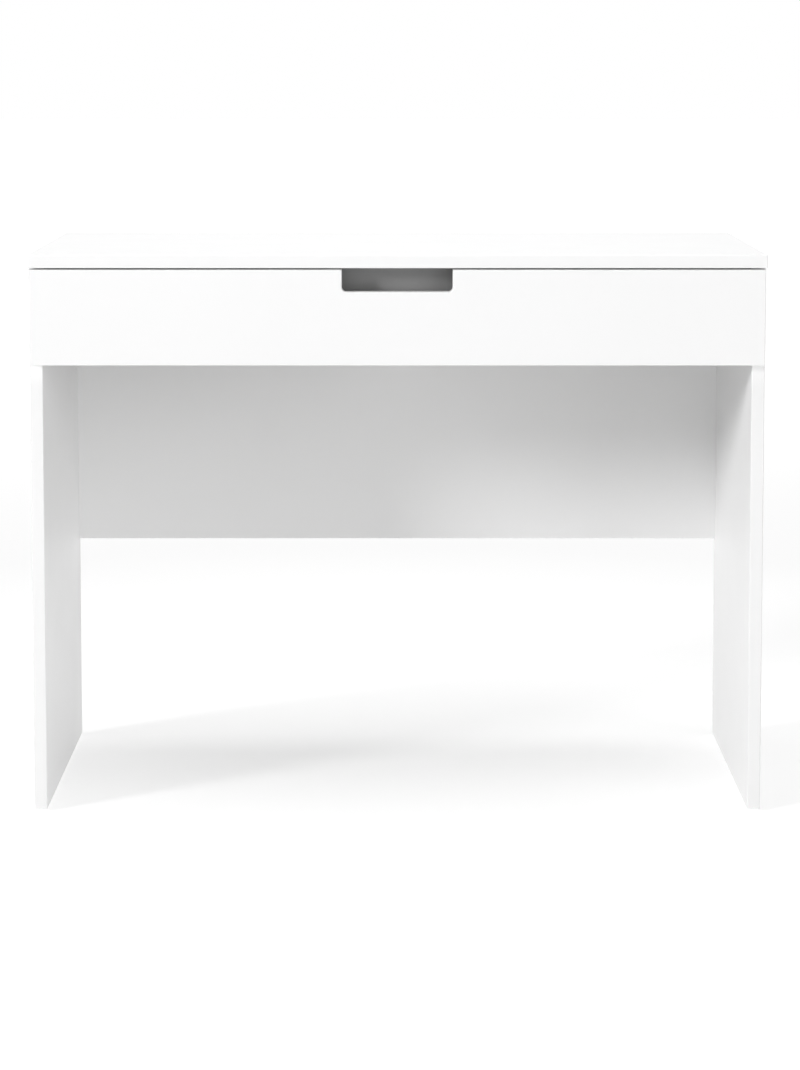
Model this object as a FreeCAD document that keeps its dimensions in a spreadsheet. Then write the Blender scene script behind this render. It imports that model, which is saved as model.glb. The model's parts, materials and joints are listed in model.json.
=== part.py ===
"""Writing desk with one full-width drawer on roller runners.

Millimetres. +X is to the sitter's right, -Y is the front, +Z is up. The origin is the
centre of the desk's footprint on the floor.
"""
import FreeCAD, Part
import os
import re
import Sketcher

V = FreeCAD.Vector
ROTATE = FreeCAD.Rotation

doc = FreeCAD.newDocument("WritingDesk")

# Driving dimensions, one row of the sheet each: alias, value, meaning.
DIMENSIONS = (
    ("desk_width", 1000, "over the tabletop"),
    ("desk_depth", 500, "over the tabletop"),
    ("desk_height", 770, "floor to tabletop"),
    ("board", 18, "thickness of tabletop, panels and drawer front"),
    ("edging", 2, "thickness of the edge band"),
    ("edge_round", 1.5, "radius on the long edges"),
    ("back_height", 445, "height of the back panel"),
    ("glide_height", 3, "glide between panel and floor"),
    ("glide_radius", 7.5, "glide disc"),
    ("nail_radius", 1.1, "nail of the glide"),
    ("nail_length", 12, "nail of the glide"),
    ("glide_inset", 40, "glide axis from the panel's end"),
    ("front_height", 130, "height of the drawer front"),
    ("front_gap", 2, "behind the drawer front"),
    ("front_top_gap", 2, "between tabletop and drawer front"),
    ("front_reveal", 2, "drawer front short of the tabletop, each side"),
    ("grip_width", 150, "cut-out in the drawer front"),
    ("grip_depth", 30, "cut-out in the drawer front"),
    ("grip_round", 6, "lower corners of the cut-out"),
    ("rail_setback", 42, "front rail from the desk's front"),
    ("rail_height", 38, "front rail, upright leg"),
    ("rail_flange", 30, "front rail, flange under the tabletop"),
    ("rail_sheet", 1.5, "front rail, sheet"),
    ("rail_play", 0.5, "front rail to side panel, each end"),
    ("rail_screw_pitch", 200, "front rail screws"),
    ("side_play", 12.5, "drawer box to side panel"),
    ("box_side", 12, "thickness of drawer sides and back"),
    ("box_height", 74, "drawer sides"),
    ("box_length", 450, "drawer sides"),
    ("box_lift", 16, "drawer box above the drawer front's lower edge"),
    ("bottom_sheet", 3, "drawer bottom"),
    ("bottom_rise", 10, "drawer bottom above the drawer side's lower edge"),
    ("groove_depth", 6, "groove for the drawer bottom"),
    ("brace_width", 40, "strip under the drawer bottom"),
    ("runner_sheet", 1, "steel of the runners"),
    ("runner_length", 450, "channel and profile"),
    ("channel_lift", 18, "channel above the drawer front's lower edge"),
    ("channel_height", 19, "channel over both flanges"),
    ("channel_depth", 9.5, "channel over web and flange"),
    ("channel_start", 2, "channel behind the side panel's front edge"),
    ("channel_relief", 28, "upper flange cut away over the front roller"),
    ("stop_setback", 87.5, "stop tab behind the channel's front end"),
    ("stop_drop", 3, "depth of the stop tab"),
    ("profile_top", 21, "profile's upper flange above the channel's base"),
    ("profile_reach", 10.5, "profile over its upper flange"),
    ("profile_start", 0.5, "profile behind the drawer front"),
    ("front_roller_radius", 9.2, "roller on the channel"),
    ("front_roller_rise", 10.5, "its axis above the channel's base"),
    ("front_roller_setback", 12, "its axis behind the channel's front end"),
    ("rear_roller_radius", 8.2, "roller on the drawer profile"),
    ("rear_roller_rise", 9.5, "its axis above the channel's base"),
    ("rear_roller_setback", 6, "its axis ahead of the drawer box's rear"),
    ("roller_width", 6, "both rollers"),
    ("roller_chamfer", 0.5, "both rollers"),
    ("roller_play", 0.2, "roller to pin head and to pin collar"),
    ("pin_radius", 2, "roller pin"),
    ("pin_play", 0.05, "radial play in the roller"),
    ("pin_head_radius", 3.5, "roller pin"),
    ("pin_head", 0.8, "roller pin, head and collar"),
    ("pin_collar_radius", 3, "roller pin"),
    ("cam_radius", 7.5, "panel cams"),
    ("cam_bore", 13, "depth of a panel cam's bore"),
    ("small_cam_radius", 6, "drawer cams"),
    ("small_cam_bore", 10, "depth of a drawer cam's bore"),
    ("cam_cap", 1, "cover cap"),
    ("cam_recess", 2, "driver slot in a cam"),
    ("cam_setback", 24, "cam axis from the joint"),
    ("cam_inset", 60, "tabletop cams from the panel's ends"),
    ("back_cam_inset", 40, "back panel cams from the panel's ends"),
    ("system_pitch", 32, "dowel from the nearest cam"),
    ("back_dowel_pitch", 320, "dowels between back panel and tabletop"),
    ("bolt_thread_radius", 3, "cam bolt"),
    ("bolt_thread", 11, "cam bolt"),
    ("bolt_radius", 2.5, "cam bolt, shaft and head"),
    ("bolt_neck_radius", 1.6, "cam bolt"),
    ("dowel_radius", 4, "panel dowels"),
    ("dowel_near", 18, "dowel in the panel's edge"),
    ("dowel_far", 12, "dowel in the panel's face"),
    ("small_dowel_radius", 3, "drawer dowels"),
    ("small_dowel_near", 15, "dowel in the drawer side"),
    ("small_dowel_far", 10, "dowel in the drawer front"),
    ("drawer_cam_rise", 54, "drawer cam above the box's lower edge"),
    ("drawer_dowel_rise", 28, "drawer dowel above the box's lower edge"),
    ("bumper_radius", 4, "soft bumper"),
    ("bumper_height", 1.7, "soft bumper"),
    ("bumper_inset", 18, "bumper from the front's upper and lower edges"),
)

sheet = doc.addObject("Spreadsheet::Sheet", "Dims")
for row, (alias, value, meaning) in enumerate(DIMENSIONS, 1):
    sheet.set(f"A{row}", meaning)
    sheet.set(f"B{row}", str(value))
    sheet.setAlias(f"B{row}", alias)
doc.recompute()

# Planes and faces that several pieces share, as expressions of the sheet.
INNER = "(desk_width / 2 - board)"
FRONT = "(-desk_depth / 2)"
REAR = "(desk_depth / 2)"
FRONT_REAR = "(-desk_depth / 2 + board)"
PANEL_FRONT = "(-desk_depth / 2 + board + front_gap)"
UNDERSIDE = "(desk_height - board)"
BACK_LOW = "(desk_height - board - back_height)"
BACK_FACE = "(desk_depth / 2 - board)"
FRONT_TOP = "(desk_height - board - front_top_gap)"
FRONT_LOW = "(desk_height - board - front_top_gap - front_height)"
BOX_OUTER = "(desk_width / 2 - board - side_play)"
BOX_INNER = "(desk_width / 2 - board - side_play - box_side)"
BOX_MIDDLE = "(desk_width / 2 - board - side_play - box_side / 2)"
BOX_LOW = f"({FRONT_LOW} + box_lift)"
BOX_TOP = f"({BOX_LOW} + box_height)"
BOX_REAR = f"({FRONT_REAR} + box_length)"
BOTTOM_LOW = f"({BOX_LOW} + bottom_rise)"
BOTTOM_TOP = f"({BOTTOM_LOW} + bottom_sheet)"
CHANNEL_LOW = f"({FRONT_LOW} + channel_lift)"
CHANNEL_TOP = f"({CHANNEL_LOW} + channel_height)"
CHANNEL_FRONT = f"({PANEL_FRONT} + channel_start)"
RAIL_FACE = f"({FRONT} + rail_setback)"

# Rotations that turn a piece's own +Z to the named direction.
TURN = {
    "+X": ROTATE(V(0, 1, 0), 90),
    "-X": ROTATE(V(0, 1, 0), -90),
    "+Y": ROTATE(V(1, 0, 0), -90),
    "-Y": ROTATE(V(1, 0, 0), 90),
    "+Z": ROTATE(),
    "-Z": ROTATE(V(1, 0, 0), 180),
}
SIDES = (("left", "-1", "-X", "+X"), ("right", "1", "+X", "-X"))

subparts = []


def of_sheet(text):
    """The expression with every alias addressed on the sheet."""
    return re.sub(r"[a-z][a-z_]*", lambda word: f"Dims.{word.group(0)}", text)


def bind(item, name, text):
    item.setExpression(name, of_sheet(text))


def place(item, x, y, z, towards="+Z"):
    """Put the item's own origin at x, y, z with its own +Z turned to a direction."""
    item.Placement = FreeCAD.Placement(V(), TURN[towards])
    for axis, text in zip("xyz", (x, y, z)):
        bind(item, f"Placement.Base.{axis}", text)


def keep(item, label):
    """Name a finished sub-part and list it for export."""
    item.Label = label
    subparts.append(item)
    return item


def new_sketch(body, name, role, offset="0"):
    """An empty sketch on one of the body's origin planes, or parallel to it."""
    sketch = body.newObject("Sketcher::SketchObject", name)
    plane = [item for item in body.Origin.OriginFeatures if item.Role == role][0]
    sketch.AttachmentSupport = [(plane, "")]
    sketch.MapMode = "FlatFace"
    bind(sketch, "AttachmentOffset.Base.z", offset)
    return sketch


def draw_outline(sketch, corners):
    """A closed polygon whose corners are bound to expressions."""
    count = len(corners)
    circle = [V(10, 0, 0), V(0, 10, 0)]
    for index in range(count):
        start = circle[index % 2] * (index + 1)
        end = circle[(index + 1) % 2] * (index + 2)
        sketch.addGeometry(Part.LineSegment(start, end), False)
    for index in range(count):
        following = (index + 1) % count
        sketch.addConstraint(Sketcher.Constraint("Coincident", index, 2, following, 1))
    for index, corner in enumerate(corners):
        for kind, text in zip(("DistanceX", "DistanceY"), corner):
            bound = Sketcher.Constraint(kind, -1, 1, index, 1, 1.0)
            number = sketch.addConstraint(bound)
            bind(sketch, f"Constraints[{number}]", text)


def rectangle(low, high):
    (left, bottom), (right, top) = low, high
    return ((left, bottom), (right, bottom), (right, top), (left, top))


def new_body(name):
    return doc.addObject("PartDesign::Body", name)


def pad(body, name, role, corners, length, reverse=False, offset="0"):
    sketch = new_sketch(body, f"{name}Sketch", role, offset)
    draw_outline(sketch, corners)
    feature = body.newObject("PartDesign::Pad", name)
    feature.Profile = sketch
    feature.Reversed = reverse
    bind(feature, "Length", length)
    doc.recompute()
    return feature


def pocket(body, name, role, corners, depth, reverse=False, offset="0"):
    """A pocket, which has to take material away."""
    before = body.Shape.Volume
    sketch = new_sketch(body, f"{name}Sketch", role, offset)
    draw_outline(sketch, corners)
    feature = body.newObject("PartDesign::Pocket", name)
    feature.Profile = sketch
    feature.Reversed = reverse
    bind(feature, "Length", depth)
    doc.recompute()
    if body.Shape.Volume > before - 0.01:
        raise RuntimeError(f"{name} removes nothing")
    return feature


def round_edges(body, name, radius, wanted):
    """Fillet the edges of the body's tip that the test accepts."""
    tip = body.Tip
    around = tip.Shape.BoundBox
    edges = [
        f"Edge{number}"
        for number, edge in enumerate(tip.Shape.Edges, 1)
        if wanted(edge.BoundBox, around)
    ]
    feature = body.newObject("PartDesign::Fillet", name)
    feature.Base = (tip, edges)
    bind(feature, "Radius", radius)
    doc.recompute()
    return feature


def turned(name, profile):
    """A body turned about its own Z axis from a profile of radius and height."""
    body = new_body(name)
    sketch = new_sketch(body, f"{name}Sketch", "XZ_Plane")
    draw_outline(sketch, profile)
    feature = body.newObject("PartDesign::Revolution", f"{name}Turn")
    feature.Profile = sketch
    feature.ReferenceAxis = (sketch, ["V_Axis"])
    feature.Angle = 360
    doc.recompute()
    return body


def cross(arm, half_slot):
    """The outline of a cross-shaped driver recess."""
    a, b = arm, half_slot
    return (
        (a, f"-{b}"), (a, b), (b, b), (b, a), (f"-{b}", a), (f"-{b}", b),
        (f"-{a}", b), (f"-{a}", f"-{b}"), (f"-{b}", f"-{b}"), (f"-{b}", f"-{a}"),
        (b, f"-{a}"), (b, f"-{b}"),
    )


def copies(name, piece, spots):
    """One group of linked copies: each spot is x, y, z and the direction of +Z."""
    links = []
    for number, (x, y, z, towards) in enumerate(spots, 1):
        link = doc.addObject("App::Link", f"{name}{number}")
        link.LinkedObject = piece
        place(link, x, y, z, towards)
        links.append(link)
    group = doc.addObject("Part::Compound", name)
    group.Links = links
    doc.recompute()
    return group


def cut(name, base, tools):
    """The base with every tool taken away, one after another."""
    for number, tool in enumerate(tools, 1):
        result = doc.addObject("Part::Cut", f"{name}Cut{number}")
        result.Base = base
        result.Tool = tool
        base = result
    doc.recompute()
    return base


# ---------------------------------------------------------------- fastener patterns

cam_bolt = turned("CamBolt", (
    ("0", "-cam_setback - bolt_radius"),
    ("bolt_radius", "-cam_setback - bolt_radius"),
    ("bolt_radius", "-cam_setback + 1"),
    ("bolt_neck_radius", "-cam_setback + 2"),
    ("bolt_neck_radius", "-cam_setback + 4"),
    ("bolt_radius", "-cam_setback + 5"),
    ("bolt_radius", "0"),
    ("bolt_thread_radius", "0"),
    ("bolt_thread_radius", "bolt_thread - 1.5"),
    ("bolt_thread_radius - 1.5", "bolt_thread"),
    ("0", "bolt_thread"),
))

panel_dowel = turned("PanelDowel", (
    ("0", "-dowel_near"),
    ("dowel_radius - 1", "-dowel_near"),
    ("dowel_radius", "-dowel_near + 1"),
    ("dowel_radius", "dowel_far - 1"),
    ("dowel_radius - 1", "dowel_far"),
    ("0", "dowel_far"),
))

drawer_dowel = turned("DrawerDowel", (
    ("0", "-small_dowel_near"),
    ("small_dowel_radius - 1", "-small_dowel_near"),
    ("small_dowel_radius", "-small_dowel_near + 1"),
    ("small_dowel_radius", "small_dowel_far - 1"),
    ("small_dowel_radius - 1", "small_dowel_far"),
    ("0", "small_dowel_far"),
))


def cam_and_cap(name, radius, bore):
    """A slotted cam, the flush cap over it and their bore, each from the bore's mouth in."""
    hole = turned(f"{name}Bore", (("0", "0"), (radius, "0"), (radius, bore), ("0", bore)))
    cam = turned(f"{name}Cam", (
        ("0", "cam_cap"), (radius, "cam_cap"), (radius, bore), ("0", bore),
    ))
    pocket(cam, f"{name}CamSlots", "XY_Plane", cross("3.5", "0.6"), "cam_recess",
           reverse=True, offset="cam_cap")
    cap = turned(f"{name}Cap", (
        ("0", "0"), (f"{radius} - 0.3", "0"), (radius, "0.3"), (radius, "cam_cap"),
        ("0", "cam_cap"),
    ))
    return cam, cap, hole


panel_cam, panel_cap, panel_bore = cam_and_cap("Panel", "cam_radius", "cam_bore")
drawer_cam, drawer_cap, drawer_bore = cam_and_cap(
    "Drawer", "small_cam_radius", "small_cam_bore")


def pan_screw(name, head_radius, head, shank_radius, length, slot):
    """A pan-head screw: its seat is at its own origin and its point at +Z."""
    screw = turned(name, (
        ("0", f"-{head}"),
        (f"{head_radius} * 0.6", f"-{head}"),
        (head_radius, f"-{head} * 0.4"),
        (head_radius, "0"),
        (shank_radius, "0"),
        (shank_radius, f"{length} - 2"),
        ("0", length),
    ))
    pocket(screw, f"{name}Slots", "XY_Plane", cross(f"{head_radius} * 0.5", slot),
           f"{head} * 0.6", reverse=True, offset=f"-{head}")
    return screw


def flush_screw(name, head_radius, shank_radius, length, slot):
    """A countersunk screw, flush at its own origin with its point at +Z, and its hole."""
    outline = (
        ("0", "0"),
        (head_radius, "0"),
        (shank_radius, f"{head_radius} - {shank_radius} + 0.5"),
        (shank_radius, f"{length} - 2"),
        ("0", length),
    )
    hole = turned(f"{name}Hole", outline)
    screw = turned(name, outline)
    pocket(screw, f"{name}Slots", "XY_Plane", cross(f"{head_radius} * 0.5", slot),
           f"{head_radius} * 0.5", reverse=True)
    return screw, hole


rail_screw = pan_screw("RailScrew", "4", "2.4", "2", "15.5", "0.5")
channel_screw = pan_screw("ChannelScrew", "4.5", "1.2", "3.1", "11", "0.6")
profile_screw = pan_screw("ProfileScrew", "3.5", "1", "1.75", "10.5", "0.4")
bottom_screw = pan_screw("BottomScrew", "3", "1.6", "1.5", "15", "0.4")
back_screw, back_hole = flush_screw("BackScrew", "4", "2", "35", "0.5")
brace_screw, brace_hole = flush_screw("BraceScrew", "3.5", "1.75", "25", "0.45")

roller_pin = turned("RollerPin", (
    ("0", "-pin_head"),
    ("pin_head_radius - 0.4", "-pin_head"),
    ("pin_head_radius", "-pin_head + 0.4"),
    ("pin_head_radius", "0"),
    ("pin_radius", "0"),
    ("pin_radius", "roller_width + 2 * roller_play"),
    ("pin_collar_radius", "roller_width + 2 * roller_play"),
    ("pin_collar_radius", "roller_width + 2 * roller_play + pin_head"),
    ("pin_radius", "roller_width + 2 * roller_play + pin_head"),
    ("pin_radius", "roller_width + 2 * roller_play + pin_head + runner_sheet"),
    ("0", "roller_width + 2 * roller_play + pin_head + runner_sheet"),
))
PIN_SEAT = "(roller_width + 2 * roller_play + pin_head)"

glide = turned("Glide", (
    ("0", "0"),
    ("glide_radius - 1", "0"),
    ("glide_radius", "1"),
    ("glide_radius", "glide_height"),
    ("nail_radius", "glide_height"),
    ("nail_radius", "glide_height + nail_length - 2"),
    ("0", "glide_height + nail_length"),
))

bumper = turned("Bumper", (
    ("0", "0"),
    ("bumper_radius", "0"),
    ("bumper_radius", "bumper_height - 0.5"),
    ("bumper_radius - 0.5", "bumper_height"),
    ("0", "bumper_height"),
))

# ---------------------------------------------------------------- carcass fasteners

PANEL_MIDDLE = "(desk_width / 2 - board / 2)"
BACK_MIDDLE = "(desk_depth / 2 - board / 2)"
CAM_FRONT = f"({PANEL_FRONT} + cam_inset)"
CAM_REAR = f"({REAR} - cam_inset)"
CAM_ROWS = (CAM_FRONT, f"(({CAM_FRONT} + {CAM_REAR}) / 2)", CAM_REAR)
DOWEL_ROWS = (f"({CAM_FRONT} + system_pitch)", f"({CAM_REAR} - system_pitch)")
BACK_CAM_LOW = f"({BACK_LOW} + back_cam_inset)"
BACK_CAM_HIGH = f"({UNDERSIDE} - back_cam_inset)"
BACK_CAM_ROWS = (
    BACK_CAM_LOW, f"(({BACK_CAM_LOW} + {BACK_CAM_HIGH}) / 2)", BACK_CAM_HIGH,
)
BACK_DOWEL_ROWS = (
    f"({BACK_CAM_LOW} + system_pitch)", f"({BACK_CAM_HIGH} - system_pitch)",
)

top_bolts = keep(copies("TopBolts", cam_bolt, [
    (f"{sign} * {PANEL_MIDDLE}", row, UNDERSIDE, "+Z")
    for _, sign, _, _ in SIDES for row in CAM_ROWS
]), "tabletop_cam_bolts")

top_cam_spots = [
    (f"{sign} * {INNER}", row, f"{UNDERSIDE} - cam_setback", outward)
    for _, sign, outward, _ in SIDES for row in CAM_ROWS
]
top_cams = copies("TopCams", panel_cam, top_cam_spots)
keep(cut("TopCams", top_cams, [top_bolts]), "tabletop_cams")
keep(copies("TopCaps", panel_cap, top_cam_spots), "tabletop_cam_caps")
top_bores = copies("TopBores", panel_bore, top_cam_spots)

back_bolts = keep(copies("BackBolts", cam_bolt, [
    (f"{sign} * {INNER}", BACK_MIDDLE, row, outward)
    for _, sign, outward, _ in SIDES for row in BACK_CAM_ROWS
]), "back_panel_cam_bolts")

back_cam_spots = [
    (f"{sign} * ({INNER} - cam_setback)", REAR, row, "-Y")
    for _, sign, _, _ in SIDES for row in BACK_CAM_ROWS
]
back_cams = copies("BackCams", panel_cam, back_cam_spots)
keep(cut("BackCams", back_cams, [back_bolts]), "back_panel_cams")
keep(copies("BackCaps", panel_cap, back_cam_spots), "back_panel_cam_caps")
back_bores = copies("BackBores", panel_bore, back_cam_spots)

dowel_spots = [
    (f"{sign} * {PANEL_MIDDLE}", row, UNDERSIDE, "+Z")
    for _, sign, _, _ in SIDES for row in DOWEL_ROWS
] + [
    (f"{sign} * {INNER}", BACK_MIDDLE, row, outward)
    for _, sign, outward, _ in SIDES for row in BACK_DOWEL_ROWS
] + [
    (f"{step} * back_dowel_pitch", BACK_MIDDLE, UNDERSIDE, "+Z") for step in (-1, 0, 1)
]
dowels = keep(copies("Dowels", panel_dowel, dowel_spots), "carcass_dowels")

glides = keep(copies("Glides", glide, [
    (f"{sign} * {PANEL_MIDDLE}", row, "0", "+Z")
    for _, sign, _, _ in SIDES
    for row in (f"{PANEL_FRONT} + glide_inset", f"{REAR} - glide_inset")
]), "floor_glides")

rail_screws = keep(copies("RailScrews", rail_screw, [
    (f"{step} * rail_screw_pitch", f"{RAIL_FACE} + rail_flange * 0.6",
     f"{UNDERSIDE} - rail_sheet", "+Z")
    for step in range(-2, 3)
]), "front_rail_screws")

# ---------------------------------------------------------------- runners, carcass side

CHANNEL_WEB = "(desk_width / 2 - board - runner_sheet)"
CHANNEL_SCREW_ROWS = tuple(
    f"({CHANNEL_FRONT} + runner_length * {share})" for share in ("0.14", "0.5", "0.86")
)
channel_screws = keep(copies("ChannelScrews", channel_screw, [
    (f"{sign} * {CHANNEL_WEB}", row, f"{CHANNEL_LOW} + channel_height / 2", outward)
    for _, sign, outward, _ in SIDES for row in CHANNEL_SCREW_ROWS
]), "runner_channel_screws")

FRONT_ROLLER_Y = f"({CHANNEL_FRONT} + front_roller_setback)"
FRONT_ROLLER_Z = f"({CHANNEL_LOW} + front_roller_rise)"
front_pins = keep(copies("FrontPins", roller_pin, [
    (f"{sign} * ({CHANNEL_WEB} - {PIN_SEAT})", FRONT_ROLLER_Y, FRONT_ROLLER_Z, outward)
    for _, sign, outward, _ in SIDES
]), "front_roller_pins")


def channel(side, sign):
    """C-shaped channel, open to the desk's middle, with a stop tab on its upper flange."""
    name = f"Channel{side.title()}"
    body = new_body(name)
    back = f"{sign} * {INNER}"
    web = f"{sign} * {CHANNEL_WEB}"
    tip = f"{sign} * ({INNER} - channel_depth)"
    pad(body, f"{name}Section", "XZ_Plane", (
        (back, CHANNEL_LOW),
        (back, CHANNEL_TOP),
        (tip, CHANNEL_TOP),
        (tip, f"{CHANNEL_TOP} - runner_sheet"),
        (web, f"{CHANNEL_TOP} - runner_sheet"),
        (web, f"{CHANNEL_LOW} + runner_sheet"),
        (tip, f"{CHANNEL_LOW} + runner_sheet"),
        (tip, CHANNEL_LOW),
    ), "runner_length", reverse=True)
    pocket(body, f"{name}Relief", "XY_Plane",
           rectangle((tip, "0"), (web, "channel_relief")), "runner_sheet",
           offset=CHANNEL_TOP)
    pad(body, f"{name}Stop", "XY_Plane",
        rectangle((tip, "stop_setback"), (web, "stop_setback + runner_sheet")),
        "stop_drop", reverse=True, offset=f"{CHANNEL_TOP} - runner_sheet")
    place(body, "0", CHANNEL_FRONT, "0")
    doc.recompute()
    return keep(cut(name, body, [channel_screws, front_pins]), f"runner_channel_{side}")


def roller(name, label, radius, x, y, z, towards):
    """A roller with a plain bore: its first face is at x, its width runs on from there."""
    body = turned(name, (
        ("pin_radius + pin_play", "0"),
        (f"{radius} - roller_chamfer", "0"),
        (radius, "roller_chamfer"),
        (radius, "roller_width - roller_chamfer"),
        (f"{radius} - roller_chamfer", "roller_width"),
        ("pin_radius + pin_play", "roller_width"),
    ))
    place(body, x, y, z, towards)
    return keep(body, label)


for side, sign, outward, inward in SIDES:
    channel(side, sign)
    roller(f"FrontRoller{side.title()}", f"front_roller_{side}", "front_roller_radius",
           f"{sign} * ({CHANNEL_WEB} - {PIN_SEAT} + roller_play)",
           FRONT_ROLLER_Y, FRONT_ROLLER_Z, outward)

# ---------------------------------------------------------------- tabletop and panels


def board_body(name, low, high):
    """A plain board between two corners, drawn in plan and padded up."""
    body = new_body(name)
    pad(body, f"{name}Plan", "XY_Plane", rectangle(low[:2], high[:2]),
        f"{high[2]} - {low[2]}")
    place(body, "0", "0", low[2])
    doc.recompute()
    return body


def banded_board(name, label, low, high, bands, rounded, tools, band_tools=()):
    """A board and the band round its edges, split at the band's inner face."""
    blank = board_body(f"{name}Blank", low, high)
    round_edges(blank, f"{name}Rounding", "edge_round", rounded)
    core_low = [f"({at} + edging)" if band else at for at, band in zip(low, bands[0])]
    core_high = [f"({at} - edging)" if band else at for at, band in zip(high, bands[1])]
    core = board_body(f"{name}Core", core_low, core_high)
    keep(cut(name, core, tools), label)
    keep(cut(f"{name}Band", blank, [core, *band_tools]), f"{label}_edging")


banded_board(
    "Tabletop", "tabletop",
    ("-desk_width / 2", FRONT, UNDERSIDE), ("desk_width / 2", REAR, "desk_height"),
    ((True, True, False), (True, True, False)),
    lambda edge, around: True,
    [top_bolts, dowels, rail_screws],
)

for side, sign, _, _ in SIDES:
    faces = ("-desk_width / 2", f"-{INNER}") if side == "left" else (INNER, "desk_width / 2")
    banded_board(
        f"Side{side.title()}", f"side_panel_{side}",
        (faces[0], PANEL_FRONT, "glide_height"), (faces[1], REAR, UNDERSIDE),
        ((False, True, True), (False, True, False)),
        lambda edge, around: edge.ZMin < around.ZMax - 1,
        [top_bolts, top_bores, dowels, back_bolts, glides, channel_screws],
        [glides],
    )

banded_board(
    "Back", "back_panel",
    (f"-{INNER}", BACK_FACE, BACK_LOW), (INNER, REAR, UNDERSIDE),
    ((False, False, True), (False, False, False)),
    lambda edge, around: edge.ZMax < around.ZMin + 1 and edge.XLength > 1,
    [back_bolts, back_bores, dowels],
)

# ---------------------------------------------------------------- front rail

rail = new_body("Rail")
pad(rail, "RailSection", "YZ_Plane", (
    (RAIL_FACE, f"{UNDERSIDE} - rail_height"),
    (f"{RAIL_FACE} + rail_sheet", f"{UNDERSIDE} - rail_height"),
    (f"{RAIL_FACE} + rail_sheet", f"{UNDERSIDE} - rail_sheet"),
    (f"{RAIL_FACE} + rail_flange", f"{UNDERSIDE} - rail_sheet"),
    (f"{RAIL_FACE} + rail_flange", UNDERSIDE),
    (RAIL_FACE, UNDERSIDE),
), "desk_width - 2 * board - 2 * rail_play")
place(rail, f"-{INNER} + rail_play", "0", "0")
keep(cut("Rail", rail, [rail_screws]), "front_rail")

# ---------------------------------------------------------------- drawer fasteners

DRAWER_CAM_Z = f"({BOX_LOW} + drawer_cam_rise)"
DRAWER_DOWEL_Z = f"({BOX_LOW} + drawer_dowel_rise)"
BRACE_MIDDLE_Z = f"({BOX_LOW} + bottom_rise / 2)"
BACK_BOARD_Y = f"({BOX_REAR} - box_side / 2)"

drawer_bolts = keep(copies("DrawerBolts", cam_bolt, [
    (f"{sign} * {BOX_MIDDLE}", FRONT_REAR, DRAWER_CAM_Z, "-Y")
    for _, sign, _, _ in SIDES
]), "drawer_cam_bolts")

drawer_cam_spots = [
    (f"{sign} * {BOX_INNER}", f"{FRONT_REAR} + cam_setback", DRAWER_CAM_Z, outward)
    for _, sign, outward, _ in SIDES
]
drawer_cams = copies("DrawerCams", drawer_cam, drawer_cam_spots)
keep(cut("DrawerCams", drawer_cams, [drawer_bolts]), "drawer_cams")
keep(copies("DrawerCaps", drawer_cap, drawer_cam_spots), "drawer_cam_caps")
drawer_bores = copies("DrawerBores", drawer_bore, drawer_cam_spots)

drawer_dowels = keep(copies("DrawerDowels", drawer_dowel, [
    (f"{sign} * {BOX_MIDDLE}", FRONT_REAR, DRAWER_DOWEL_Z, "-Y")
    for _, sign, _, _ in SIDES
] + [
    (f"{sign} * brace_width / 4", FRONT_REAR, BRACE_MIDDLE_Z, "-Y")
    for _, sign, _, _ in SIDES
]), "drawer_dowels")

back_screw_spots = [
    (f"{sign} * {BOX_OUTER}", BACK_BOARD_Y, f"{BOX_LOW} + box_height * {share}", inward)
    for _, sign, _, inward in SIDES for share in ("0.44", "0.8")
]
keep(copies("BackScrews", back_screw, back_screw_spots), "drawer_back_screws")
back_holes = copies("BackHoles", back_hole, back_screw_spots)

bottom_screws = keep(copies("BottomScrews", bottom_screw, [
    (f"{sign} * {BOX_INNER} * {share}", BACK_BOARD_Y, BOTTOM_LOW, "+Z")
    for _, sign, _, _ in SIDES for share in ("0.35", "0.8")
]), "drawer_bottom_screws")

brace_screw_spot = [("0", BACK_BOARD_Y, BOX_LOW, "+Z")]
keep(copies("BraceScrews", brace_screw, brace_screw_spot), "drawer_brace_screw")
brace_holes = copies("BraceHoles", brace_hole, brace_screw_spot)

bumpers = keep(copies("Bumpers", bumper, [
    (f"{sign} * {PANEL_MIDDLE}", FRONT_REAR, height, "+Y")
    for _, sign, _, _ in SIDES
    for height in (f"{FRONT_LOW} + bumper_inset", f"{FRONT_TOP} - bumper_inset")
]), "drawer_bumpers")

# ---------------------------------------------------------------- runners, drawer side

PROFILE_WEB = f"({BOX_OUTER} + runner_sheet)"
PROFILE_LOW = f"({BOX_LOW} - runner_sheet)"
PROFILE_TOP = f"({CHANNEL_LOW} + profile_top)"
PROFILE_FRONT = f"({FRONT_REAR} + profile_start)"
REAR_ROLLER_Y = f"({BOX_REAR} - rear_roller_setback)"
REAR_ROLLER_Z = f"({CHANNEL_LOW} + rear_roller_rise)"

profile_screws = keep(copies("ProfileScrews", profile_screw, [
    (f"{sign} * {PROFILE_WEB}", f"({PROFILE_FRONT} + runner_length * {share})",
     f"{BOX_LOW} + 18", inward)
    for _, sign, _, inward in SIDES for share in ("0.1", "0.5", "0.86")
]), "drawer_profile_screws")

rear_pins = keep(copies("RearPins", roller_pin, [
    (f"{sign} * ({PROFILE_WEB} + {PIN_SEAT})", REAR_ROLLER_Y, REAR_ROLLER_Z, inward)
    for _, sign, _, inward in SIDES
]), "rear_roller_pins")


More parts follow.
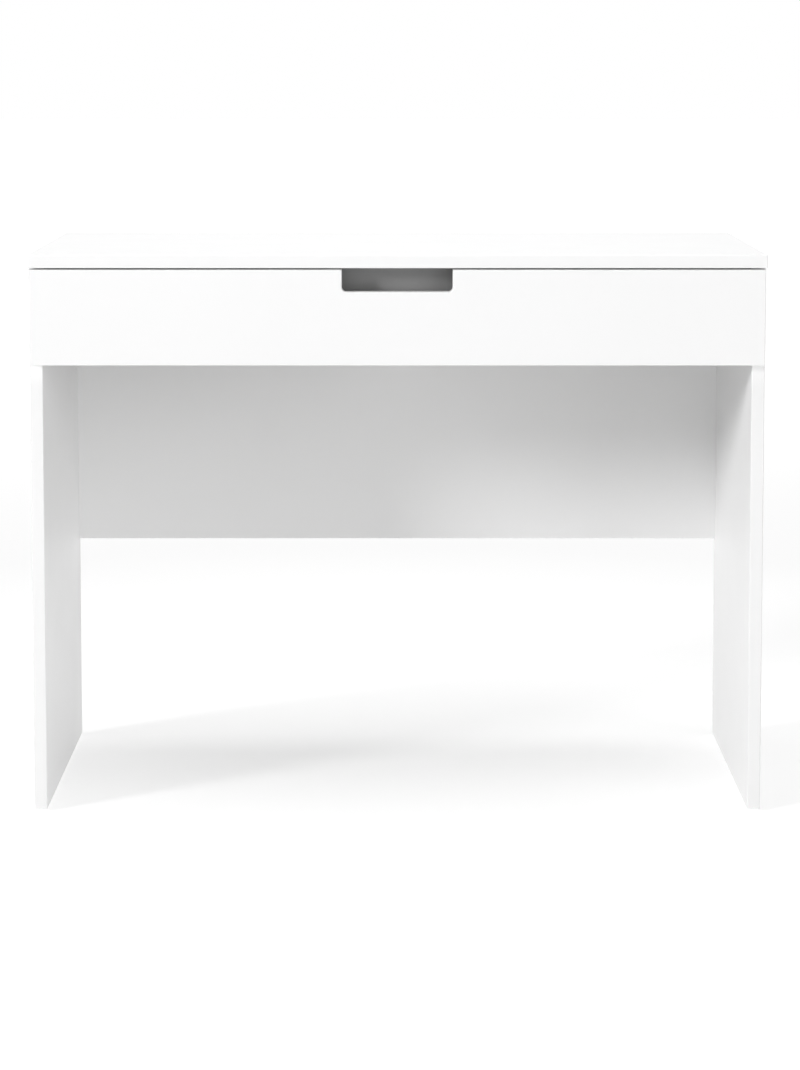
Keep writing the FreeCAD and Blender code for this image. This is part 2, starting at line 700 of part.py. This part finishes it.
def profile(side, sign):
    """Z-shaped profile: one flange under the drawer side, one out over the channel."""
    name = f"Profile{side.title()}"
    body = new_body(name)
    pad(body, f"{name}Section", "XZ_Plane", (
        (f"{sign} * {BOX_INNER}", PROFILE_LOW),
        (f"{sign} * {PROFILE_WEB}", PROFILE_LOW),
        (f"{sign} * {PROFILE_WEB}", f"{PROFILE_TOP} - runner_sheet"),
        (f"{sign} * ({BOX_OUTER} + profile_reach)", f"{PROFILE_TOP} - runner_sheet"),
        (f"{sign} * ({BOX_OUTER} + profile_reach)", PROFILE_TOP),
        (f"{sign} * {BOX_OUTER}", PROFILE_TOP),
        (f"{sign} * {BOX_OUTER}", BOX_LOW),
        (f"{sign} * {BOX_INNER}", BOX_LOW),
    ), "box_length - profile_start", reverse=True)
    place(body, "0", PROFILE_FRONT, "0")
    doc.recompute()
    return keep(cut(name, body, [profile_screws, rear_pins]), f"drawer_profile_{side}")


for side, sign, outward, inward in SIDES:
    profile(side, sign)
    roller(f"RearRoller{side.title()}", f"rear_roller_{side}", "rear_roller_radius",
           f"{sign} * ({PROFILE_WEB} + {PIN_SEAT} - roller_play)",
           REAR_ROLLER_Y, REAR_ROLLER_Z, inward)

# ---------------------------------------------------------------- drawer box and front

bottom = board_body(
    "Bottom",
    (f"-({BOX_INNER} + groove_depth)", f"({FRONT_REAR} - groove_depth)", BOTTOM_LOW),
    (f"({BOX_INNER} + groove_depth)", BOX_REAR, BOTTOM_TOP),
)
keep(cut("Bottom", bottom, [bottom_screws, brace_holes]), "drawer_bottom")

brace = board_body(
    "Brace", ("-brace_width / 2", FRONT_REAR, BOX_LOW),
    ("brace_width / 2", BOX_REAR, BOTTOM_LOW),
)
keep(cut("Brace", brace, [brace_holes, drawer_dowels]), "drawer_brace")

back_board = board_body(
    "BackBoard", (f"-{BOX_INNER}", f"({BOX_REAR} - box_side)", BOTTOM_TOP),
    (BOX_INNER, BOX_REAR, BOX_TOP),
)
keep(cut("BackBoard", back_board, [back_holes, bottom_screws, brace_holes]),
     "drawer_back")


def drawer_side(side, sign):
    """A drawer side with the groove for the bottom along its inner face."""
    name = f"BoxSide{side.title()}"
    body = new_body(name)
    inner = f"{sign} * {BOX_INNER}"
    outer = f"{sign} * {BOX_OUTER}"
    groove = f"{sign} * ({BOX_INNER} + groove_depth)"
    pad(body, f"{name}Section", "XZ_Plane", (
        (inner, BOX_LOW), (outer, BOX_LOW), (outer, BOX_TOP), (inner, BOX_TOP),
        (inner, BOTTOM_TOP), (groove, BOTTOM_TOP), (groove, BOTTOM_LOW),
        (inner, BOTTOM_LOW),
    ), "box_length", reverse=True)
    place(body, "0", FRONT_REAR, "0")
    doc.recompute()
    tools = [drawer_bolts, drawer_bores, drawer_dowels, back_holes, profile_screws]
    return keep(cut(name, body, tools), f"drawer_side_{side}")


for side, sign, _, _ in SIDES:
    drawer_side(side, sign)

front = new_body("Front")
HALF_FRONT = "(desk_width / 2 - front_reveal)"
GRIP_LOW = f"({FRONT_TOP} - grip_depth)"
pad(front, "FrontOutline", "XZ_Plane", (
    (f"-{HALF_FRONT}", FRONT_LOW), (HALF_FRONT, FRONT_LOW), (HALF_FRONT, FRONT_TOP),
    ("grip_width / 2", FRONT_TOP), ("grip_width / 2", GRIP_LOW),
    ("-grip_width / 2", GRIP_LOW), ("-grip_width / 2", FRONT_TOP),
    (f"-{HALF_FRONT}", FRONT_TOP),
), "board", reverse=True)


def is_grip_corner(edge, around):
    """The cut-out's two lower corners, which run through the thickness."""
    through = edge.YLength > 1
    inboard = edge.XMax < around.XMax - 1 and edge.XMin > around.XMin + 1
    return through and inboard and edge.ZMax < around.ZMax - 1


round_edges(front, "GripCorners", "grip_round", is_grip_corner)
round_edges(front, "FrontRounding", "edge_round",
            lambda edge, around: edge.YLength < 0.01 and edge.YMin < around.YMin + 1)
place(front, "0", FRONT, "0")
doc.recompute()
keep(cut("Front", front, [drawer_bolts, drawer_dowels, bottom]), "drawer_front")

# ---------------------------------------------------------------- checks and export

doc.recompute()
for item in doc.Objects:
    if "Invalid" in item.State or "Error" in item.State:
        raise RuntimeError(f"{item.Name} failed: {item.State}")
for item in subparts:
    shape = item.Shape
    if shape.isNull() or not shape.isValid() or not shape.Solids:
        raise RuntimeError(f"{item.Label} has no valid shape")

os.makedirs("parts", exist_ok=True)
for item in subparts:
    item.Shape.exportStep(os.path.join("parts", f"{item.Label}.step"))
    box = item.Shape.BoundBox
    print(f"{item.Label}: {len(item.Shape.Solids)} solids, {item.Shape.Volume:.0f} mm3, "
          f"x {box.XMin:.1f}..{box.XMax:.1f} y {box.YMin:.1f}..{box.YMax:.1f} "
          f"z {box.ZMin:.1f}..{box.ZMax:.1f}")
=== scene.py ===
"""Looks, light and camera for the white writing desk with one drawer."""

import json
import math

import bmesh
import bpy
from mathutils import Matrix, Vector

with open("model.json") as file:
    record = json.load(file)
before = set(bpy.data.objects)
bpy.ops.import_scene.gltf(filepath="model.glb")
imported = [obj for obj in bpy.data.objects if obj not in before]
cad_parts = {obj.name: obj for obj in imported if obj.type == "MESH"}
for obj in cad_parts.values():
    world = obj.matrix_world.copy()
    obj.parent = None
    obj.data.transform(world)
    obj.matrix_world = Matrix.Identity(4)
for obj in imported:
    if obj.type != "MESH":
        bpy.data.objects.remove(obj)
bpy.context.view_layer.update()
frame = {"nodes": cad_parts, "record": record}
nodes = frame["nodes"]
scene = bpy.context.scene

MICRON = 0.000001
WHITE = (1.0, 1.0, 1.0, 1.0)

# ---------------------------------------------------------------- camera

CAMERA_PLACE = (0.0, -4.456, 1.052)
CAMERA_TILT = math.radians(5.635)
CAMERA_LENS = 105.14
CAMERA_SENSOR = 36.0
CAMERA_SHIFT = (0.0026, -0.17)
CAMERA_REACH = 100.0

camera_data = bpy.data.cameras.new("camera")
camera_data.lens = CAMERA_LENS
camera_data.sensor_width = CAMERA_SENSOR
camera_data.shift_x, camera_data.shift_y = CAMERA_SHIFT
camera_data.clip_end = CAMERA_REACH
camera = bpy.data.objects.new("camera", camera_data)
camera.location = CAMERA_PLACE
camera.rotation_euler = (math.radians(90) - CAMERA_TILT, 0.0, 0.0)
scene.collection.objects.link(camera)
scene.camera = camera

# ---------------------------------------------------------------- light

KEY = dict(azimuth=52.0, elevation=18.5, spread=12.0, strength=1.64)
FILL = dict(azimuth=-40.0, elevation=6.0, spread=42.0, strength=1.12)
KEY_DISTANCE = 16.0
TOP_SIZE = 3.0
TOP_HEIGHT = 3.4
TOP_POWER = 88.0
ROOM_SEEN = 1.0
ROOM_LIGHT = 0.0


def add_light(name, data, place):
    light = bpy.data.objects.new(name, data)
    light.location = place
    scene.collection.objects.link(light)
    return light


def soft_light(name, azimuth, elevation, spread, strength, distance=None):
    """A round light that spans `spread` degrees, a disk at a distance or else a sun.

    Azimuth 0 stands in front of the desk and 90 on its left; strength is the light that
    falls on a surface that faces it, in watts per square metre.
    """
    turn, rise = math.radians(azimuth), math.radians(elevation)
    source = Vector((
        -math.sin(turn) * math.cos(rise), -math.cos(turn) * math.cos(rise), math.sin(rise),
    ))
    if distance:
        data = bpy.data.lights.new(name, "AREA")
        data.shape = "DISK"
        data.size = 2.0 * distance * math.tan(math.radians(spread) / 2.0)
        data.energy = strength * math.pi * distance ** 2
    else:
        data = bpy.data.lights.new(name, "SUN")
        data.angle = math.radians(spread)
        data.energy = strength
    light = add_light(name, data, source * (distance or 1.0))
    light.rotation_euler = (-source).to_track_quat("-Z", "Y").to_euler()


def overhead_box(name, height, size, power):
    """A square soft box that looks straight down."""
    data = bpy.data.lights.new(name, "AREA")
    data.shape = "SQUARE"
    data.size = size
    data.energy = power
    add_light(name, data, (0.0, 0.0, height))


def white_room():
    """A room that is white to the camera and in gloss, and lights no matt surface."""
    room = bpy.data.worlds.new("room")
    room.use_nodes = True
    tree = room.node_tree
    tree.nodes.clear()

    def background(strength):
        shader = tree.nodes.new("ShaderNodeBackground")
        shader.inputs["Color"].default_value = WHITE
        shader.inputs["Strength"].default_value = strength
        return shader.outputs["Background"]

    ray = tree.nodes.new("ShaderNodeLightPath")
    mix = tree.nodes.new("ShaderNodeMixShader")
    out = tree.nodes.new("ShaderNodeOutputWorld")
    tree.links.new(ray.outputs["Is Diffuse Ray"], mix.inputs["Fac"])
    tree.links.new(background(ROOM_SEEN), mix.inputs[1])
    tree.links.new(background(ROOM_LIGHT), mix.inputs[2])
    tree.links.new(mix.outputs["Shader"], out.inputs["Surface"])
    return room


soft_light("key", distance=KEY_DISTANCE, **KEY)
soft_light("fill", **FILL)
overhead_box("top", TOP_HEIGHT, TOP_SIZE, TOP_POWER)
scene.world = white_room()
scene.view_settings.view_transform = "Standard"

# ---------------------------------------------------------------- materials


class Look:
    """A principled material whose textures are placed in the object's own metres."""

    def __init__(self, name, roughness, metallic=0.0, **sockets):
        self.material = bpy.data.materials.new(name)
        self.material.use_nodes = True
        self.tree = self.material.node_tree
        self.shader = self.tree.nodes["Principled BSDF"]
        self.shader.inputs["Roughness"].default_value = roughness
        self.shader.inputs["Metallic"].default_value = metallic
        for socket, value in sockets.items():
            self.shader.inputs[socket.replace("_", " ")].default_value = value
        self.place = self.tree.nodes.new("ShaderNodeTexCoord").outputs["Object"]
        self.relief_normal = None

    def link(self, source, target):
        self.tree.links.new(source, target)

    def noise(self, scale, detail=3.0, stretch=(1.0, 1.0, 1.0), roughness=0.5):
        """Noise with `scale` lumps to the metre, `detail` octaves of finer ones."""
        mapping = self.tree.nodes.new("ShaderNodeMapping")
        mapping.inputs["Scale"].default_value = stretch
        texture = self.tree.nodes.new("ShaderNodeTexNoise")
        texture.inputs["Scale"].default_value = scale
        texture.inputs["Detail"].default_value = detail
        texture.inputs["Roughness"].default_value = roughness
        self.link(self.place, mapping.inputs["Vector"])
        self.link(mapping.outputs["Vector"], texture.inputs["Vector"])
        return texture.outputs["Fac"]

    def spread(self, value, low, high, low_at=0.3, high_at=0.7):
        """Maps low_at..high_at, by default a noise's middle range, to low..high."""
        ranged = self.tree.nodes.new("ShaderNodeMapRange")
        ranged.inputs["From Min"].default_value = low_at
        ranged.inputs["From Max"].default_value = high_at
        ranged.inputs["To Min"].default_value = low
        ranged.inputs["To Max"].default_value = high
        self.link(value, ranged.inputs["Value"])
        return ranged.outputs["Result"]

    def ramp(self, value, stops):
        """A colour from a value, through stops of (position, rgb)."""
        ramp = self.tree.nodes.new("ShaderNodeValToRGB")
        points = ramp.color_ramp.elements
        while len(points) < len(stops):
            points.new(0.5)
        for point, (position, rgb) in zip(points, stops):
            point.position = position
            point.color = (*rgb, 1.0)
        self.link(value, ramp.inputs["Fac"])
        return ramp.outputs["Color"]

    def colour(self, value, stops):
        self.link(self.ramp(value, stops), self.shader.inputs["Base Color"])

    def gloss(self, value, low, high):
        """Varies the roughness between low and high."""
        self.link(self.spread(value, low, high), self.shader.inputs["Roughness"])

    def bump(self, value, height):
        """Adds a relief, height in metres, over any relief there already."""
        relief = self.tree.nodes.new("ShaderNodeBump")
        relief.inputs["Distance"].default_value = height
        self.link(value, relief.inputs["Height"])
        if self.relief_normal:
            self.link(self.relief_normal, relief.inputs["Normal"])
        self.relief_normal = relief.outputs["Normal"]
        self.link(self.relief_normal, self.shader.inputs["Normal"])


def shades(rgb, step):
    """Three stops round a colour, a little darker to a little lighter."""
    return (
        (0.3, tuple(part * (1 - step) for part in rgb)),
        (0.5, rgb),
        (0.7, tuple(min(part * (1 + step), 1.0) for part in rgb)),
    )


def grey(tone):
    return (tone, tone, tone)


PANEL_WHITE = grey(0.845)
FRONT_WHITE = grey(0.85)
EDGE_WHITE = grey(0.85)
RAIL_GREY = grey(0.27)
RUNNER_WHITE = (0.78, 0.785, 0.78)
ZINC = (0.55, 0.56, 0.57)
SCREW_STEEL = (0.62, 0.62, 0.59)
ROLLER_NYLON = (0.74, 0.74, 0.7)
CAP_WHITE = (0.78, 0.778, 0.765)
GLIDE_WHITE = (0.8, 0.8, 0.78)
BUMPER_CLEAR = (0.7, 0.71, 0.68)
BEECH_DARK = (0.42, 0.25, 0.13)
BEECH_MIDDLE = (0.6, 0.4, 0.24)
BEECH_LIGHT = (0.72, 0.52, 0.34)
BOX_FOIL = (0.83, 0.83, 0.827)
BOTTOM_FOIL = (0.82, 0.82, 0.818)
BARE_FIBRE = (0.17, 0.164, 0.158)


def white_melamine():
    """Melamine board: a pearl relief over a very faint waviness."""
    look = Look("white_melamine", 0.42)
    look.colour(look.noise(6.0, 4.0), shades(PANEL_WHITE, 0.006))
    look.gloss(look.noise(14.0, 5.0), 0.38, 0.46)
    look.bump(look.noise(1400.0, 2.0), 12 * MICRON)
    look.bump(look.noise(140.0, 2.0), 10 * MICRON)
    return look.material


def edge_band():
    """Plastic edge band, smoother than the board."""
    look = Look("edge_band", 0.36)
    look.colour(look.noise(18.0), shades(EDGE_WHITE, 0.005))
    look.gloss(look.noise(60.0), 0.32, 0.4)
    look.bump(look.noise(900.0, 2.0), 8 * MICRON)
    return look.material


def front_lacquer():
    """Sprayed lacquer: a soft orange peel over a wider waviness."""
    look = Look("front_lacquer", 0.4)
    look.colour(look.noise(5.0, 4.0), shades(FRONT_WHITE, 0.005))
    look.gloss(look.noise(20.0, 4.0), 0.36, 0.43)
    look.bump(look.noise(420.0, 2.0), 10 * MICRON)
    look.bump(look.noise(60.0, 2.0), 10 * MICRON)
    return look.material


def rail_grey():
    """Grey powder coat with its fine grain."""
    look = Look("rail_grey", 0.55)
    look.colour(look.noise(30.0), shades(RAIL_GREY, 0.03))
    look.gloss(look.noise(200.0), 0.5, 0.62)
    look.bump(look.noise(1800.0), 30 * MICRON)
    return look.material


def runner_epoxy():
    """White epoxy on the steel runners, under a thin gloss."""
    look = Look("runner_epoxy", 0.35, Coat_Weight=0.25, Coat_Roughness=0.15)
    look.colour(look.noise(25.0), shades(RUNNER_WHITE, 0.015))
    look.gloss(look.noise(90.0), 0.3, 0.42)
    look.bump(look.noise(1200.0, 2.0), 15 * MICRON)
    return look.material


def plated(name, rgb, roughness):
    """Plated steel with a fine crystalline mottle."""
    look = Look(name, roughness, metallic=1.0)
    look.colour(look.noise(400.0, 4.0), shades(rgb, 0.08))
    look.gloss(look.noise(700.0), roughness - 0.08, roughness + 0.1)
    look.bump(look.noise(2500.0, 2.0), 15 * MICRON)
    return look.material


def moulded(name, rgb, roughness):
    """Moulded plastic with the fine grain of its mould."""
    look = Look(name, roughness)
    look.colour(look.noise(80.0), shades(rgb, 0.012))
    look.gloss(look.noise(500.0), roughness - 0.05, roughness + 0.06)
    look.bump(look.noise(2200.0, 2.0), 12 * MICRON)
    return look.material


def beech():
    """Beech dowels, with grain drawn out along Z."""
    look = Look("beech", 0.55)
    grain = look.noise(90.0, 6.0, stretch=(6.0, 6.0, 1.0), roughness=0.65)
    look.colour(grain, ((0.3, BEECH_DARK), (0.5, BEECH_MIDDLE), (0.7, BEECH_LIGHT)))
    look.bump(grain, 100 * MICRON)
    return look.material


def box_foil():
    """Foil-wrapped board of the drawer box."""
    look = Look("box_foil", 0.48)
    look.colour(look.noise(8.0, 4.0), shades(BOX_FOIL, 0.01))
    look.gloss(look.noise(40.0, 4.0), 0.44, 0.55)
    look.bump(look.noise(700.0), 20 * MICRON)
    return look.material


def hardboard():
    """Thin fibreboard: smooth white foil above, bare screen-pressed fibre below."""
    look = Look("hardboard", 0.55)
    geometry = look.tree.nodes.new("ShaderNodeNewGeometry")
    facing = look.tree.nodes.new("ShaderNodeSeparateXYZ")
    look.link(geometry.outputs["True Normal"], facing.inputs["Vector"])
    below = look.spread(facing.outputs["Z"], 1.0, 0.0, low_at=-0.6, high_at=-0.4)
    fibre = look.noise(260.0, 6.0, stretch=(1.0, 2.2, 1.0), roughness=0.7)
    bare = look.ramp(fibre, shades(BARE_FIBRE, 0.16))
    foil = look.ramp(look.noise(9.0, 4.0), shades(BOTTOM_FOIL, 0.01))
    faces = look.tree.nodes.new("ShaderNodeMix")
    faces.data_type = "RGBA"
    look.link(below, faces.inputs["Factor"])
    look.link(foil, faces.inputs["A"])
    look.link(bare, faces.inputs["B"])
    look.link(faces.outputs["Result"], look.shader.inputs["Base Color"])
    look.bump(fibre, 40 * MICRON)
    return look.material


LOOKS = {
    "panel_board": white_melamine(),
    "edge_band": edge_band(),
    "front_lacquer": front_lacquer(),
    "rail_grey": rail_grey(),
    "runner_white": runner_epoxy(),
    "zinc": plated("zinc", ZINC, 0.42),
    "screw_steel": plated("screw_steel", SCREW_STEEL, 0.3),
    "roller_nylon": moulded("roller_nylon", ROLLER_NYLON, 0.42),
    "cap_plastic": moulded("cap_plastic", CAP_WHITE, 0.32),
    "glide_plastic": moulded("glide_plastic", GLIDE_WHITE, 0.45),
    "beech": beech(),
    "box_board": box_foil(),
    "hardboard": hardboard(),
    "soft_bumper": moulded("soft_bumper", BUMPER_CLEAR, 0.3),
}

for entry in frame["record"]["subparts"]:
    for mesh_slot in nodes[entry["node"]].material_slots:
        mesh_slot.material = LOOKS[entry["material_slot"]]

# ---------------------------------------------------------------- floor

FLOOR_HALF = 40.0
FLOOR_PALE = grey(0.62)
GLOW_NEAR = 0.585
GLOW_FAR = 0.95
GLOW_NEAR_RADIUS = 2.0
GLOW_FAR_RADIUS = 5.0


def floor_paper():
    """Pale seamless paper that glows, more so far from the desk, so that it stays light."""
    look = Look("floor_paper", 0.9, Specular_IOR_Level=0.1)
    look.colour(look.noise(3.0, 2.0), shades(FLOOR_PALE, 0.005))
    look.shader.inputs["Emission Color"].default_value = WHITE
    distance = look.tree.nodes.new("ShaderNodeVectorMath")
    distance.operation = "LENGTH"
    look.link(look.place, distance.inputs[0])
    glow = look.spread(
        distance.outputs["Value"], GLOW_NEAR, GLOW_FAR, GLOW_NEAR_RADIUS, GLOW_FAR_RADIUS,
    )
    look.link(glow, look.shader.inputs["Emission Strength"])
    look.bump(look.noise(300.0, 2.0), 50 * MICRON)
    return look.material


floor_mesh = bmesh.new()
floor_mesh.faces.new([
    floor_mesh.verts.new((x * FLOOR_HALF, y * FLOOR_HALF, 0.0))
    for x, y in ((-1, -1), (1, -1), (1, 1), (-1, 1))
])
floor_data = bpy.data.meshes.new("floor")
floor_mesh.to_mesh(floor_data)
floor_mesh.free()
floor_data.materials.append(floor_paper())
floor = bpy.data.objects.new("floor", floor_data)
scene.collection.objects.link(floor)
